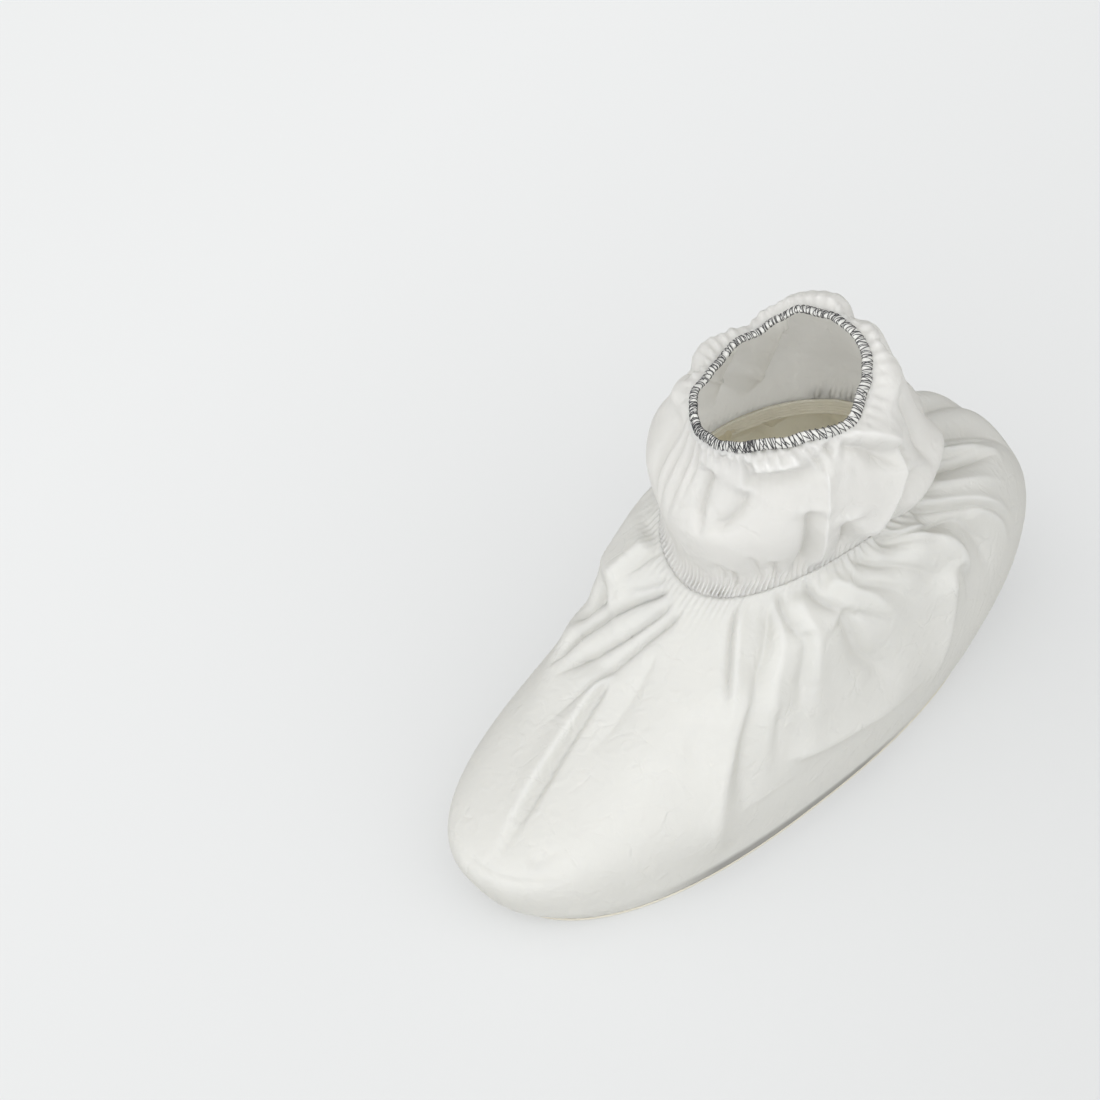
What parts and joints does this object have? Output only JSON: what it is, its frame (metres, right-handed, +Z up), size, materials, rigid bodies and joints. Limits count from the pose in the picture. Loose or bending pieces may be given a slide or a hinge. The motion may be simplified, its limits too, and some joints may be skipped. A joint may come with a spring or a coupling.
{
  "type": "shoe cover",
  "caption": "White nonwoven cloth shoe cover: hollow foot bag on a flat sole, gathered at the ankle, with a loose cuff and an elastic overlocked hem, slips over a shoe.",
  "frame": {"origin": "on the floor under the middle of the cover's bounding box", "axes": "toe towards -Y, heel towards +Y, +Z up through the ankle opening, +X towards the side that faces the camera"},
  "size_m": [0.1416, 0.3602, 0.2435],
  "materials": {
    "sole_cloth": "matte nonwoven laminate",
    "upper_cloth": "matte papery nonwoven laminate",
    "cuff_cloth": "matte papery nonwoven laminate",
    "elastic_tape": "woven elastic",
    "hem_overlock": "white cloth edge under dark grey overlock thread"
  },
  "bodies": {
    "root": {"sole_panel": "sole_cloth", "foot_upper": "upper_cloth", "ankle_cuff": "cuff_cloth", "ankle_elastic": "elastic_tape", "hem_roll": "hem_overlock"}
  },
  "joints": []
}
